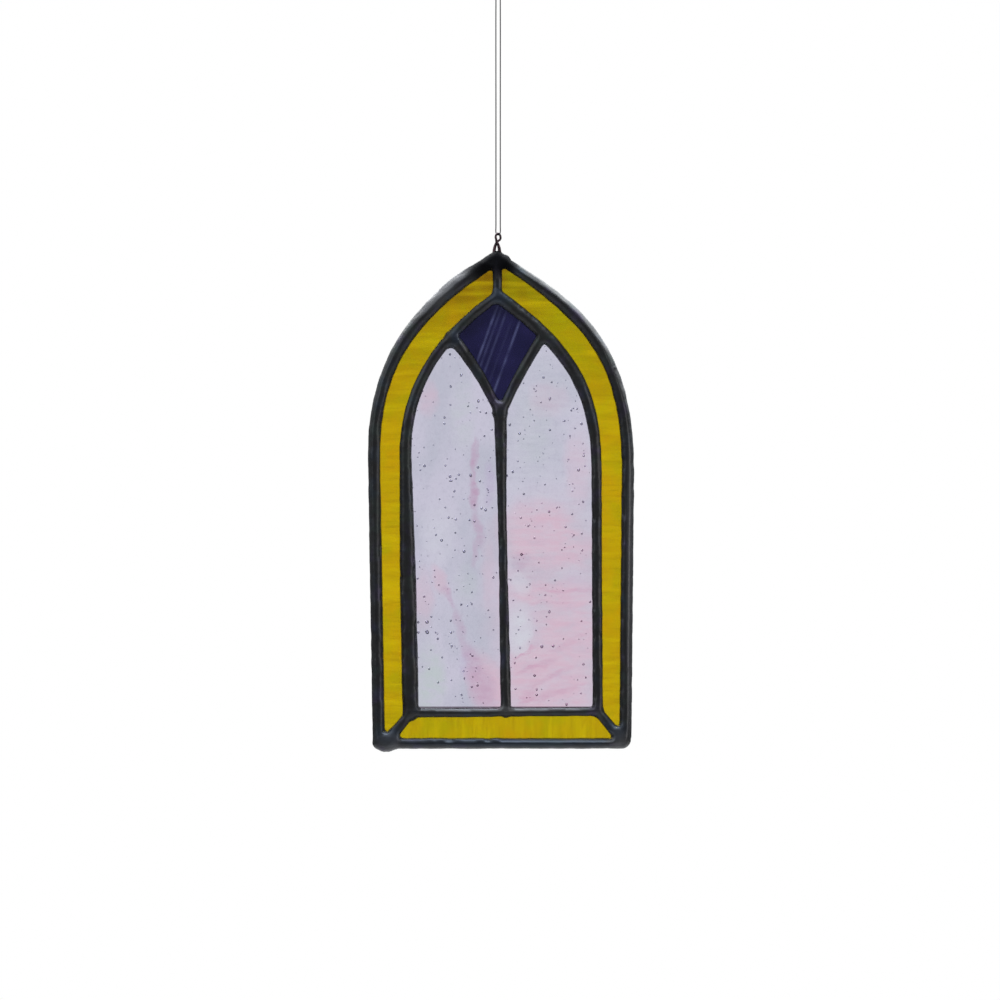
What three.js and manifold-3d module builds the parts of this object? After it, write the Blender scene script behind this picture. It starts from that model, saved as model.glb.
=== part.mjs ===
import * as THREE from 'three';
import { mergeVertices } from 'three/addons/utils/BufferGeometryUtils.js';
import Module from 'manifold-3d';

// A small hanging window of stained glass: a pointed arch with a yellow border, two seedy
// lancets and a dark kite between their heads, all held by soldered seams. It hangs by a
// twisted wire eye on a fine doubled line.
// X runs across, Y from front to back and Z up, in millimetres. The origin is the point
// where the line bears on what it hangs from. Heights below are above the panel's foot.

// The rim seam, along its centreline
const rimSpan = 101.5;
const peakHeight = 196.5;
const footHeight = 2.3;
const springLeft = 117.8;
const springRight = 110.5;
const leanLeft = 2.2;
const leanRight = 1.0;

// The hand-cut panel hangs with its middle right of the line and its peak just left of it
const middleOffset = 1.15;
const peakOffset = -0.3;

// The border, from the rim's centreline to the inner seam's centreline
const borderPitch = 12.55;
const innerLeanLeft = 2.1;
const innerLeanRight = -0.5;
const innerFootRise = 0.8;

// The left mitre of the border meets the foot this far in from its corner
const mitreSet = 2.2;

// The kite and the mullion, along their centrelines: the kite's height and how far its
// shoulders lie below its top. Its lower sides bow into it, most at a share of their way.
const kiteHeight = 47.7;
const shoulderDropLeft = 16.2;
const shoulderDropRight = 15.2;
const kiteBowLeft = 2.95;
const kiteBowRight = 2.4;
const kiteBowShareLeft = 0.4;
const kiteBowShareRight = 0.5;
const mullionTopOffset = 1.0;
const mullionLean = 2.2;

// How each side of an arch rises: straight above the spring as a share of the rise, then
// into the peak at its pitch, in degrees, for a share of the run
const rimRiseLeft = 0.47;
const rimRiseRight = 0.56;
const rimReachLeft = 0.78;
const rimReachRight = 0.8;
const rimPitch = 31.2;
const innerRiseLeft = 0.48;
const innerRiseRight = 0.417;
const innerReachLeft = 0.65;
const innerReachRight = 1.0;
const innerPitch = 35;

// Seam widths
const rimSideWidth = 5.0;
const rimArchWidth = 5.9;
const rimPeakLeftWidth = 5.6;
const rimPeakRightWidth = 4.3;
const rimFootWidth = 4.4;
const innerSideLeftWidth = 4.8;
const innerFlareLeftWidth = 6.6;
const innerSideRightWidth = 4.1;
const innerArchLeftWidth = 4.1;
const innerArchRightWidth = 4.9;
const innerPeakRightWidth = 5.4;
const innerFootWidth = 4.3;
const mullionHeadWidth = 4.7;
const mullionWidth = 3.6;
const mullionFootWidth = 4.2;
const kiteSideWidth = 3.8;
const barWidth = 3.8;
const mitreWidth = 3.7;

// Glass and solder
const glassThickness = 3;
const beadRise = 1.3;
const lipThickness = 0.15;
const rimCover = 1.05;
const paneGap = 1.6;
const fitGap = 0.3;

// The lumps of solder at the joints, by their radius
const peakLump = 3.4;
const peakSideLump = 3.1;
const cornerLump = 3.9;
const cornerRound = 2;
const jointLump = 3.4;

// The wire eye
const eyeWire = 0.8;
const eyeRing = 3.36;
const eyeRise = 7.6;
const eyeTurn = 48;
const legSpread = 3.0;
const legDepth = 3.6;
const legSlack = 0.1;
const peakWeb = 1.0;

// The line, its knot and the loop above it
const lineDiameter = 0.4;
const lineSpacing = 2.34;
const lineRise = 99;
const knotWidth = 1.7;
const knotHeight = 2.4;
const loopWidth = 3.4;
const loopHeight = 6;

// How finely the shapes are cut
const archSteps = 20;
const kiteSteps = 9;
const sideSteps = 5;
const lumpSides = 14;
const wireSides = 8;
const eyeSteps = 50;
const strandSteps = 48;
const loopSteps = 20;
const knotSides = 12;

const mergeTolerance = 1e-4;
const shareTolerance = 1e-6;
const straightTolerance = 1e-3;

const wasm = await Module();
wasm.setup();

const point = (x, height) => new THREE.Vector2(x, height);
const shareOf = (from, to, share) => from.clone().lerp(to, share);

// Places on the centrelines

const halfSpan = rimSpan / 2;
const rimLeft = middleOffset - halfSpan;
const rimRight = middleOffset + halfSpan;
const innerLeft = rimLeft + borderPitch;
const innerRight = rimRight - borderPitch;
const peakDrop = borderPitch / Math.cos(THREE.MathUtils.degToRad(innerPitch));

const peak = point(peakOffset, peakHeight);
const springs = {
  rimLeft: point(rimLeft, springLeft),
  rimRight: point(rimRight, springRight),
  innerLeft: point(innerLeft, springLeft),
  innerRight: point(innerRight, springRight),
};
const feet = {
  rimLeft: point(rimLeft + leanLeft, footHeight),
  rimRight: point(rimRight - leanRight, footHeight),
  innerLeft: point(innerLeft + innerLeanLeft, footHeight + borderPitch - innerFootRise / 2),
  innerRight: point(innerRight - innerLeanRight, footHeight + borderPitch + innerFootRise / 2),
};
const mitreEndLeft = point(feet.rimLeft.x + mitreSet, footHeight);
const apex = point(peakOffset, peakHeight - peakDrop);
const mullionTop = point(peakOffset + mullionTopOffset, apex.y - kiteHeight);
const mullionFoot = point(mullionTop.x + mullionLean, footHeight + borderPitch);

// One side of an arch, from its spring up to its peak
function archSide(spring, top, riseShare, reachShare, pitchDegrees) {
  const rise = top.y - spring.y;
  const run = top.x - spring.x;
  const pitch = THREE.MathUtils.degToRad(pitchDegrees);
  const above = point(spring.x, spring.y + riseShare * rise);
  const reach = reachShare * Math.abs(run);
  const before = point(
    top.x - Math.sign(run) * reach * Math.cos(pitch),
    top.y - reach * Math.sin(pitch),
  );
  return new THREE.CubicBezierCurve(spring, above, before, top);
}

const arches = {
  rimLeft: archSide(springs.rimLeft, peak, rimRiseLeft, rimReachLeft, rimPitch),
  rimRight: archSide(springs.rimRight, peak, rimRiseRight, rimReachRight, rimPitch),
  innerLeft: archSide(springs.innerLeft, apex, innerRiseLeft, innerReachLeft, innerPitch),
  innerRight: archSide(springs.innerRight, apex, innerRiseRight, innerReachRight, innerPitch),
};

// The share of a rising curve at which it reaches a height
function shareAtHeight(curve, height) {
  let low = 0;
  let high = 1;
  while (high - low > shareTolerance) {
    const middle = (low + high) / 2;
    if (curve.getPoint(middle).y < height) low = middle;
    else high = middle;
  }
  return (low + high) / 2;
}

function stretch(curve, from, to, steps) {
  const points = [];
  for (let i = 0; i <= steps; i += 1) {
    points.push(curve.getPoint(from + (to - from) * (i / steps)));
  }
  return points;
}

const leftShoulderShare = shareAtHeight(arches.innerLeft, apex.y - shoulderDropLeft);
const rightShoulderShare = shareAtHeight(arches.innerRight, apex.y - shoulderDropRight);
const shoulders = {
  left: arches.innerLeft.getPoint(leftShoulderShare),
  right: arches.innerRight.getPoint(rightShoulderShare),
};

// A lower side of the kite is the head of the lancet beside it, and turns down into the
// mullion
function kiteSide(shoulder, bow, share) {
  const turn = shareOf(shoulder, mullionTop, share);
  const across = point(mullionTop.y - shoulder.y, shoulder.x - mullionTop.x);
  turn.addScaledVector(across.normalize(), bow);
  return new THREE.QuadraticBezierCurve(shoulder, turn, mullionTop);
}

const kiteSides = {
  left: kiteSide(shoulders.left, -kiteBowLeft, kiteBowShareLeft),
  right: kiteSide(shoulders.right, kiteBowRight, kiteBowShareRight),
};

// Seams: a bead of solder swept along a centreline, thickest in its middle

const glassFace = glassThickness / 2;
const lipHeight = glassFace + fitGap + lipThickness;
const crestHeight = glassFace + beadRise;
const beadProfile = [[1, 0], [0.68, 0.7], [0, 1], [-0.68, 0.7], [-1, 0]];

function solidOf(geometry) {
  const bare = geometry.index ? geometry.clone() : geometry;
  bare.deleteAttribute('normal');
  bare.deleteAttribute('uv');
  const merged = mergeVertices(bare, mergeTolerance);
  return new wasm.Manifold(new wasm.Mesh({
    numProp: 3,
    vertProperties: new Float32Array(merged.attributes.position.array),
    triVerts: new Uint32Array(merged.index.array),
  }));
}

function geometryOf(solid) {
  const mesh = solid.getMesh();
  const geometry = new THREE.BufferGeometry();
  geometry.setAttribute('position', new THREE.BufferAttribute(mesh.vertProperties, 3));
  geometry.setIndex(new THREE.BufferAttribute(mesh.triVerts, 1));
  geometry.computeVertexNormals();
  return geometry;
}

// A width from a short list of widths that are spread evenly along the seam
function widthAt(widths, share) {
  if (widths.length === 1) return widths[0];
  const place = share * (widths.length - 1);
  const before = Math.min(Math.floor(place), widths.length - 2);
  return THREE.MathUtils.lerp(widths[before], widths[before + 1], place - before);
}

function beadSection(halfWidth) {
  const rise = crestHeight - lipHeight;
  const front = beadProfile.map(([across, up]) => [across * halfWidth, -lipHeight - up * rise]);
  const back = front.map(([across, depth]) => [across, -depth]).reverse();
  return [...front, ...back];
}

function seam(points, widths) {
  const path = new THREE.SplineCurve(points);
  const lengths = [0];
  for (let i = 1; i < points.length; i += 1) {
    lengths.push(lengths[i - 1] + points[i].distanceTo(points[i - 1]));
  }
  const whole = lengths[lengths.length - 1];
  const positions = [];
  points.forEach((place, i) => {
    const along = path.getTangent(i / (points.length - 1));
    const halfWidth = widthAt(widths, lengths[i] / whole) / 2;
    for (const [across, depth] of beadSection(halfWidth)) {
      positions.push(place.x - along.y * across, depth, place.y + along.x * across);
    }
  });
  const sides = 2 * beadProfile.length;
  const index = [];
  for (let i = 0; i + 1 < points.length; i += 1) {
    for (let k = 0; k < sides; k += 1) {
      const here = i * sides + k;
      const beside = i * sides + ((k + 1) % sides);
      index.push(here, beside, here + sides, beside, beside + sides, here + sides);
    }
  }
  const last = (points.length - 1) * sides;
  for (let k = 1; k + 1 < sides; k += 1) {
    index.push(0, k + 1, k, last, last + k, last + k + 1);
  }
  const geometry = new THREE.BufferGeometry();
  geometry.setAttribute('position', new THREE.Float32BufferAttribute(positions, 3));
  geometry.setIndex(index);
  return solidOf(geometry);
}

function lump(place, radius) {
  const geometry = new THREE.SphereGeometry(1, lumpSides, lumpSides / 2);
  geometry.scale(radius, crestHeight, radius);
  geometry.translate(place.x, 0, place.y);
  return solidOf(geometry);
}

const straight = (from, to) => stretch(new THREE.LineCurve(from, to), 0, 1, sideSteps);

const lines = {
  rimArchLeft: stretch(arches.rimLeft, 0, 1, archSteps),
  rimArchRight: stretch(arches.rimRight, 0, 1, archSteps),
  innerArchLeft: stretch(arches.innerLeft, 0, 1, archSteps),
  innerArchRight: stretch(arches.innerRight, 0, 1, archSteps),
  kiteLeft: stretch(kiteSides.left, 0, 1, kiteSteps),
  kiteRight: stretch(kiteSides.right, 0, 1, kiteSteps),
};

// The foot and the sides of the rim stop short of the corners. Each corner is a rounded
// lump between their ends, lower on the left, where the solder ran into a puddle.
const besideCorner = (corner, side) => point(corner.x + side * cornerRound, corner.y);
const aboveCorner = (corner) => point(corner.x, corner.y + cornerRound);
const cornerPlace = (corner, side, share) => (
  shareOf(besideCorner(corner, side), aboveCorner(corner), share)
);
const puddleShare = 0.35;
const cornerShare = 0.6;

function solderNet() {
  const rimLeftWidths = [rimSideWidth, rimSideWidth, rimArchWidth, rimPeakLeftWidth];
  const rimRightWidths = [rimSideWidth, rimSideWidth, rimArchWidth, rimPeakRightWidth];
  const innerRightWidths = [innerSideRightWidth, innerArchRightWidth, innerPeakRightWidth];
  const flare = [innerFlareLeftWidth, innerFlareLeftWidth, innerSideLeftWidth];
  const mullionWidths = [mullionFootWidth, mullionFootWidth, mullionWidth, mullionWidth];
  const seams = [
    seam(lines.rimArchLeft, rimLeftWidths),
    seam(lines.rimArchRight, rimRightWidths),
    seam(straight(aboveCorner(feet.rimLeft), springs.rimLeft), [rimSideWidth]),
    seam(straight(aboveCorner(feet.rimRight), springs.rimRight), [rimSideWidth]),
    seam(
      straight(besideCorner(feet.rimLeft, 1), besideCorner(feet.rimRight, -1)),
      [rimFootWidth],
    ),
    seam(lines.innerArchLeft, [innerSideLeftWidth, innerArchLeftWidth, innerArchLeftWidth]),
    seam(lines.innerArchRight, innerRightWidths),
    seam(straight(feet.innerLeft, springs.innerLeft), flare),
    seam(straight(feet.innerRight, springs.innerRight), [innerSideRightWidth]),
    seam(straight(feet.innerLeft, feet.innerRight), [innerFootWidth]),
    seam(straight(mullionFoot, mullionTop), [...mullionWidths, mullionHeadWidth]),
    seam(lines.kiteLeft, [kiteSideWidth]),
    seam(lines.kiteRight, [kiteSideWidth]),
    seam(straight(apex, peak), [barWidth]),
    seam(straight(mitreEndLeft, feet.innerLeft), [mitreWidth]),
    seam(straight(feet.rimRight, feet.innerRight), [mitreWidth]),
  ];
  const lumps = [
    lump(peak, peakLump),
    lump(point(peak.x + peakSideLump, peak.y - peakSideLump / 2), peakSideLump),
    lump(cornerPlace(feet.rimLeft, 1, puddleShare), cornerLump),
    lump(cornerPlace(feet.rimRight, -1, cornerShare), cornerLump),
    lump(feet.innerLeft, jointLump),
    lump(feet.innerRight, jointLump),
    lump(mullionFoot, jointLump),
    lump(mullionTop, jointLump),
    lump(shoulders.left, jointLump),
    lump(shoulders.right, jointLump),
    lump(apex, jointLump),
  ];
  for (const side of [springs.rimLeft, springs.rimRight]) {
    lumps.push(lump(side, rimSideWidth / 2));
  }
  lumps.push(lump(springs.innerLeft, innerSideLeftWidth / 2));
  lumps.push(lump(springs.innerRight, innerSideRightWidth / 2));
  return [...seams, ...lumps].reduce((whole, piece) => whole.add(piece));
}

// Panes: each follows the centrelines around it, set in by half the gap between panes, or
// out to the cover of solder on the rim. An edge is a run of points and how far it is set in.

const webInset = paneGap / 2;
const rimInset = rimCover - rimSideWidth / 2;
const crownHeight = peakHeight + rimSideWidth / 2;
const paneTop = crownHeight - legDepth - peakWeb;

const edge = (points, inset) => ({ points, inset });
const reversed = (points) => [...points].reverse();

function inArchBelow(curve, height, steps) {
  return stretch(curve, 0, shareAtHeight(curve, height), steps);
}

const glassArchLeft = inArchBelow(arches.rimLeft, paneTop, archSteps);
const glassArchRight = inArchBelow(arches.rimRight, paneTop, archSteps);
const barAtTop = point(peakOffset, paneTop);

const paneOutlines = {
  glass_border_left: [
    edge(reversed(glassArchLeft), rimInset),
    edge([springs.rimLeft, feet.rimLeft], rimInset),
    edge([feet.rimLeft, mitreEndLeft], rimInset),
    edge([mitreEndLeft, feet.innerLeft], webInset),
    edge([feet.innerLeft, springs.innerLeft], webInset),
    edge(lines.innerArchLeft, webInset),
    edge([apex, barAtTop], webInset),
    edge([barAtTop, glassArchLeft[archSteps]], 0),
  ],
  glass_border_right: [
    edge([feet.rimRight, springs.rimRight], rimInset),
    edge(glassArchRight, rimInset),
    edge([glassArchRight[archSteps], barAtTop], 0),
    edge([barAtTop, apex], webInset),
    edge(reversed(lines.innerArchRight), webInset),
    edge([springs.innerRight, feet.innerRight], webInset),
    edge([feet.innerRight, feet.rimRight], webInset),
  ],
  glass_border_foot: [
    edge([mitreEndLeft, feet.rimRight], rimInset),
    edge([feet.rimRight, feet.innerRight], webInset),
    edge([feet.innerRight, feet.innerLeft], webInset),
    edge([feet.innerLeft, mitreEndLeft], webInset),
  ],
  glass_kite: [
    edge(stretch(arches.innerLeft, 1, leftShoulderShare, kiteSteps), webInset),
    edge(lines.kiteLeft, webInset),
    edge(reversed(lines.kiteRight), webInset),
    edge(stretch(arches.innerRight, rightShoulderShare, 1, kiteSteps), webInset),
  ],
  glass_lancet_left: [
    edge(stretch(arches.innerLeft, leftShoulderShare, 0, archSteps), webInset),
    edge([springs.innerLeft, feet.innerLeft], webInset),
    edge([feet.innerLeft, mullionFoot], webInset),
    edge([mullionFoot, mullionTop], webInset),
    edge(reversed(lines.kiteLeft), webInset),
  ],
  glass_lancet_right: [
    edge([mullionFoot, feet.innerRight], webInset),
    edge([feet.innerRight, springs.innerRight], webInset),
    edge(stretch(arches.innerRight, 0, rightShoulderShare, archSteps), webInset),
    edge(lines.kiteRight, webInset),
    edge([mullionTop, mullionFoot], webInset),
  ],
};

// Where two neighbouring edges meet once each is set in along its inward normal
function insetCorner(corner, before, after) {
  const cross = before.normal.cross(after.normal);
  const shift = point(0, 0);
  if (Math.abs(cross) < straightTolerance) {
    const both = before.normal.clone().add(after.normal);
    shift.copy(both.multiplyScalar(before.inset / (1 + before.normal.dot(after.normal))));
  } else {
    shift.x = (before.inset * after.normal.y - after.inset * before.normal.y) / cross;
    shift.y = (after.inset * before.normal.x - before.inset * after.normal.x) / cross;
  }
  return corner.clone().add(shift);
}

function insetOutline(edges, grow) {
  const segments = [];
  for (const { points, inset } of edges) {
    for (let i = 0; i + 1 < points.length; i += 1) {
      const along = points[i + 1].clone().sub(points[i]).normalize();
      const normal = point(-along.y, along.x);
      segments.push({ start: points[i], normal, inset: inset - grow });
    }
  }
  return segments.map((segment, i) => {
    const before = segments[(i + segments.length - 1) % segments.length];
    return insetCorner(segment.start, before, segment);
  });
}

function paneSolid(edges, grow) {
  const thickness = glassThickness + 2 * grow;
  const outline = new THREE.Shape(insetOutline(edges, grow));
  const geometry = new THREE.ExtrudeGeometry(outline, { depth: thickness, bevelEnabled: false });
  geometry.rotateX(Math.PI / 2);
  geometry.translate(0, thickness / 2, 0);
  return solidOf(geometry);
}

// The wire eye: one leg rises out of the solder, goes round the ring and crosses in front

const ringRadius = (eyeRing - eyeWire) / 2;
const ringCentre = crownHeight + eyeRise - eyeRing / 2;
const ringTop = ringCentre + ringRadius;
const turn = THREE.MathUtils.degToRad(eyeTurn);
const lineSide = new THREE.Vector3(-Math.sin(turn), Math.cos(turn), 0);

function ringPoint(degrees) {
  const angle = THREE.MathUtils.degToRad(degrees);
  const across = ringRadius * Math.cos(angle);
  return new THREE.Vector3(
    across * Math.cos(turn),
    across * Math.sin(turn),
    ringCentre + ringRadius * Math.sin(angle),
  );
}

// The legs cross at a depth of their own on either side of the panel's middle plane, and
// close up a little towards their feet
function eyeRoute() {
  const crossing = ringCentre - eyeRing / 2 - eyeWire / 2;
  const legFoot = crownHeight - legDepth;
  const legMiddle = peakOffset - legSpread / 20;
  const apart = eyeWire / 2 + legSlack;
  const halfway = apart * 0.8;
  const atFoot = apart * 0.7;
  const leg = (side, share, depth) => new THREE.Vector3(
    THREE.MathUtils.lerp(legMiddle, legMiddle + side * legSpread / 2, share),
    depth,
    THREE.MathUtils.lerp(crossing, legFoot, share),
  );
  return new THREE.CatmullRomCurve3([
    leg(-1, 1, atFoot),
    leg(-1, 0.55, halfway),
    leg(-1, 0.2, apart),
    leg(1, 0.02, apart),
    ringPoint(-35),
    ringPoint(0),
    ringPoint(45),
    ringPoint(90),
    ringPoint(135),
    ringPoint(180),
    ringPoint(215),
    leg(-1, 0.02, -apart),
    leg(1, 0.2, -apart),
    leg(1, 0.55, -halfway),
    leg(1, 1, -atFoot),
  ]);
}

function roundSection(radius) {
  const section = [];
  for (let k = 0; k < wireSides; k += 1) {
    const angle = (2 * Math.PI * k) / wireSides;
    section.push(point(radius * Math.cos(angle), radius * Math.sin(angle)));
  }
  return new THREE.Shape(section);
}

function tube(route, radius, steps) {
  return new THREE.ExtrudeGeometry(roundSection(radius), { steps, extrudePath: route });
}

// The line's route, in the upright plane through its two strands: how far to the side, and
// the height. Steps are shared out by its points, so that the bends get most of them.

const bearingHeight = ringTop - eyeWire / 2 - fitGap - lineDiameter / 2;
const knotFoot = bearingHeight + lineRise;
const knotTop = knotFoot + knotHeight;
const hangHeight = knotTop + loopHeight;

function lineRoute(places) {
  const route = new THREE.CatmullRomCurve3(
    places.map(([side, height]) => {
      const place = lineSide.clone().multiplyScalar(side);
      place.z = height;
      return place;
    }),
  );
  route.getUtoTmapping = (share) => share;
  return route;
}

const mirrored = (places) => [
  ...places,
  ...[...places].reverse().slice(1).map(([side, height]) => [-side, height]),
];

const strandSide = lineSpacing / 2;
const knotSide = lineDiameter;
const strandRoute = mirrored([
  [-knotSide, knotFoot - fitGap],
  [-strandSide * 0.62, knotFoot - strandSide * 1.6],
  [-strandSide * 0.94, knotFoot - strandSide * 3.2],
  [-strandSide, knotFoot - strandSide * 6],
  [-strandSide, (knotFoot + bearingHeight) / 2],
  [-strandSide, bearingHeight + strandSide * 3.4],
  [-strandSide, bearingHeight + strandSide],
  [-strandSide * Math.SQRT1_2, bearingHeight + strandSide * (1 - Math.SQRT1_2)],
  [0, bearingHeight],
]);
const loopSide = (loopWidth - lineDiameter) / 2;
const loopRoute = mirrored([
  [-knotSide, knotTop + fitGap],
  [-loopSide * 0.55, knotTop + loopHeight * 0.2],
  [-loopSide * 0.9, knotTop + loopHeight * 0.42],
  [-loopSide, knotTop + loopHeight * 0.68],
  [-loopSide * 0.7, knotTop + loopHeight * 0.93],
  [0, hangHeight + lineDiameter / 2],
]);

function knotGeometry() {
  const geometry = new THREE.SphereGeometry(1, knotSides, knotSides / 2 + 2);
  geometry.rotateX(Math.PI / 2);
  geometry.scale(knotWidth / 2, knotWidth / 2, knotHeight / 2);
  geometry.translate(0, 0, (knotFoot + knotTop) / 2);
  return geometry;
}

// Materials

const material = (color, roughness, metalness, opacity = 1) => new THREE.MeshStandardMaterial({
  color, roughness, metalness, opacity, transparent: opacity < 1,
});
const yellowGlass = material('#b9a002', 0.2, 0, 0.9);
const indigoGlass = material('#25254a', 0.15, 0, 0.95);
const seedyGlass = material('#cbbfce', 0.12, 0, 0.6);
const patina = material('#2b2d2c', 0.42, 0.8);
const copper = material('#5a4038', 0.4, 0.9);
const nylon = material('#8f8f8f', 0.3, 0, 0.8);

// Assembly, hung so that the origin is where the loop bears

const panel = new THREE.Group();
panel.position.z = -hangHeight;

function addMesh(name, geometry, finish) {
  const mesh = new THREE.Mesh(geometry, finish);
  mesh.name = name;
  panel.add(mesh);
}

const paneFinishes = {
  glass_border_left: yellowGlass,
  glass_border_right: yellowGlass,
  glass_border_foot: yellowGlass,
  glass_kite: indigoGlass,
  glass_lancet_left: seedyGlass,
  glass_lancet_right: seedyGlass,
};

const eye = eyeRoute();
let net = solderNet();
for (const [name, edges] of Object.entries(paneOutlines)) {
  net = net.subtract(paneSolid(edges, fitGap));
  addMesh(name, geometryOf(paneSolid(edges, 0)), paneFinishes[name].clone());
}
net = net.subtract(solidOf(tube(eye, eyeWire / 2 + fitGap, eyeSteps)));
addMesh('solder_net', geometryOf(net), patina);
addMesh('hanger_eye', tube(eye, eyeWire / 2, eyeSteps), copper);
addMesh('hanging_line', tube(lineRoute(strandRoute), lineDiameter / 2, strandSteps), nylon);
addMesh('line_knot', knotGeometry(), nylon.clone());
addMesh('line_loop', tube(lineRoute(loopRoute), lineDiameter / 2, loopSteps), nylon.clone());

const hanging = new THREE.Group();
hanging.add(panel);

export default hanging;
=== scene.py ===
import math
import random

import bmesh
import bpy
import numpy as np
from mathutils import Matrix, Vector, noise
from mathutils.bvhtree import BVHTree


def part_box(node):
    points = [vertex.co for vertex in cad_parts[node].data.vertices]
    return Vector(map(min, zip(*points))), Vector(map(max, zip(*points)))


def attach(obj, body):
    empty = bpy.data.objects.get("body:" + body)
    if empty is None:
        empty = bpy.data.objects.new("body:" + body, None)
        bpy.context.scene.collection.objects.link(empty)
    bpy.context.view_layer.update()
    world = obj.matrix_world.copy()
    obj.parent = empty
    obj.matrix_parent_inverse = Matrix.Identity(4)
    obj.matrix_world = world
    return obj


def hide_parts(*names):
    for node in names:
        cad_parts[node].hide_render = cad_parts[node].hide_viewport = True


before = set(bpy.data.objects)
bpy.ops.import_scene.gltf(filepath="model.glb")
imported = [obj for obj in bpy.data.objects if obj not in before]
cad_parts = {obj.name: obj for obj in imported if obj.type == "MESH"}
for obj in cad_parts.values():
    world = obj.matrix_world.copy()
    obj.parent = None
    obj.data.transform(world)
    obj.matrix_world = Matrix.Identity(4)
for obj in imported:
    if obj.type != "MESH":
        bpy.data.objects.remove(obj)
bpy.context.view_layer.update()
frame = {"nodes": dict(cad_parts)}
print("frame loaded:", ", ".join(frame["nodes"]))

# Sizes are in millimetres: x runs right from the line, depth from front to back, and
# heights go up from the foot of the panel, which hangs this far below the hook
mm = 0.001
hangHeight = 312.7


def at(x, height, depth=0.0):
    return Vector((x, depth, height - hangHeight)) * mm


def mix(a, b, share):
    return a + (b - a) * share


def smoothRoute(points, steps):
    # a curve through the points that eases into each of them, closely cut
    points = [Vector(p) for p in points]
    first, last = points[0] * 2 - points[1], points[-1] * 2 - points[-2]
    padded = [first, *points, last]
    route = []
    for i in range(1, len(padded) - 2):
        a, b, c, d = padded[i - 1 : i + 3]
        gaps = [max((q - p).length, 1e-9) ** 0.5 for p, q in ((a, b), (b, c), (c, d))]
        outOf = ((b - a) / gaps[0] - (c - a) / (gaps[0] + gaps[1]) + (c - b) / gaps[1]) * gaps[1]
        into = ((c - b) / gaps[1] - (d - b) / (gaps[1] + gaps[2]) + (d - c) / gaps[2]) * gaps[1]
        for k in range(steps):
            t = k / steps
            route.append(
                b * (2 * t**3 - 3 * t**2 + 1)
                + c * (3 * t**2 - 2 * t**3)
                + outOf * (t**3 - 2 * t**2 + t)
                + into * (t**3 - t**2)
            )
    return [*route, points[-1]]


def meshObject(name, mesh):
    thing = bpy.data.objects.new(name, mesh)
    bpy.context.collection.objects.link(thing)
    return thing


# how many sides a wire has, how high its ends are domed as a share of its radius, and how
# fast a wire with thicker ends thins towards its middle
tube = {"sides": 12, "dome": 0.7, "thinning": 2.2}


def tubeObject(name, route, diameter, endDiameter=None):
    # a round wire along a route, with domed ends, and thicker at its ends if that is asked
    mesh = bmesh.new()
    endDiameter = endDiameter or diameter
    last = len(route) - 1
    toEnds = [abs(2 * i / last - 1) ** tube["thinning"] for i in range(last + 1)]
    radii = [mix(diameter, endDiameter, share) * mm / 2 for share in toEnds]
    sides = tube["sides"]
    side = (route[1] - route[0]).orthogonal().normalized()
    rings = []
    for i, place in enumerate(route):
        along = (route[min(i + 1, last)] - route[max(i - 1, 0)]).normalized()
        side = (side - along * side.dot(along)).normalized()
        other = along.cross(side)
        ring = []
        for k in range(sides):
            angle = 2 * math.pi * k / sides
            out = side * math.cos(angle) + other * math.sin(angle)
            ring.append(mesh.verts.new(place + out * radii[i]))
        rings.append(ring)
    for before, after in zip(rings, rings[1:]):
        for k in range(sides):
            mesh.faces.new((before[k], before[(k + 1) % sides], after[(k + 1) % sides], after[k]))
    for ring, end, inner in ((rings[0], route[0], route[1]), (rings[-1], route[-1], route[-2])):
        cap = mesh.verts.new(end + (end - inner).normalized() * radii[0] * tube["dome"])
        for k in range(sides):
            mesh.faces.new((ring[k], ring[(k + 1) % sides], cap))
    bmesh.ops.recalc_face_normals(mesh, faces=mesh.faces)
    made = bpy.data.meshes.new(name)
    mesh.to_mesh(made)
    mesh.free()
    made.polygons.foreach_set("use_smooth", [True] * len(made.polygons))
    return meshObject(name, made)


# The camera stands straight in front of the panel, as far off as a room allows

photoView = {"across": 400, "x": 0.76, "height": 99.6, "distance": 1500, "sensor": 36}

cameraData = bpy.data.cameras.new("camera")
cameraData.sensor_width = photoView["sensor"]
cameraData.lens = photoView["sensor"] * photoView["distance"] / photoView["across"]
camera = bpy.data.objects.new("camera", cameraData)
camera.location = at(photoView["x"], photoView["height"], -photoView["distance"])
camera.rotation_euler = (math.radians(90), 0, 0)
bpy.context.collection.objects.link(camera)
bpy.context.scene.camera = camera
bpy.context.scene.view_settings.view_transform = "Standard"

# The line is one length of nylon: from its knot up over the hook, back through the knot,
# down, through the wire eye and up into the knot again. Its two strands lie in an upright
# plane that is turned from the panel's, as the ring of the eye is across it.

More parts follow.
